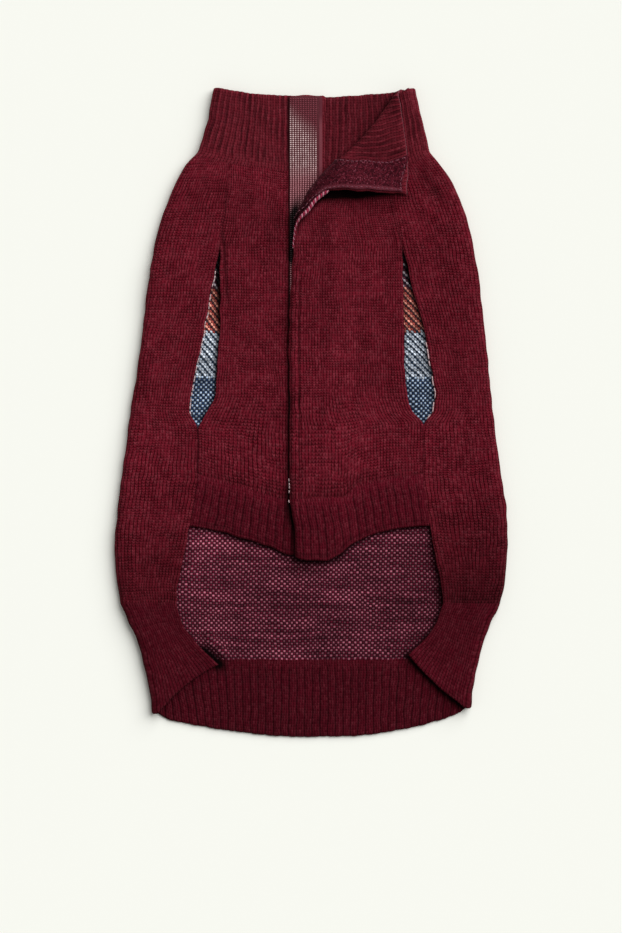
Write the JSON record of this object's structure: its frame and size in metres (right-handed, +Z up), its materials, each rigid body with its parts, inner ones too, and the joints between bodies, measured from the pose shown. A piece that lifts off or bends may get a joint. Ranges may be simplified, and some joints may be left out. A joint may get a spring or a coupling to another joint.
{
  "type": "dog sweater",
  "caption": "Knitted dog sweater laid flat on its back, belly side up, with a ribbed collar turned back at one corner, leg slits, a hook-and-loop front and a ribbed hem.",
  "frame": {"origin": "middle of the sweater's bounding box, on the surface it lies on", "axes": "+X across the body, towards the side whose collar corner is turned back; +Y along the body from the hem to the neck; +Z up from the surface"},
  "size_m": [0.2476, 0.4052, 0.0176],
  "materials": {
    "knit": "plain knit, matte wool",
    "rib": "rib knit, matte wool",
    "hook_tape": "woven nylon with moulded hooks, glossy",
    "loop_tape": "brushed nylon loops, matte"
  },
  "bodies": {
    "root": {"back_panel": "knit", "hem_rib": "rib", "collar": "rib", "belly_left": "knit", "belly_right": "knit", "belly_rib_left": "rib", "belly_rib_right": "rib", "hook_tape": "hook_tape", "loop_tape": "loop_tape"}
  },
  "joints": []
}
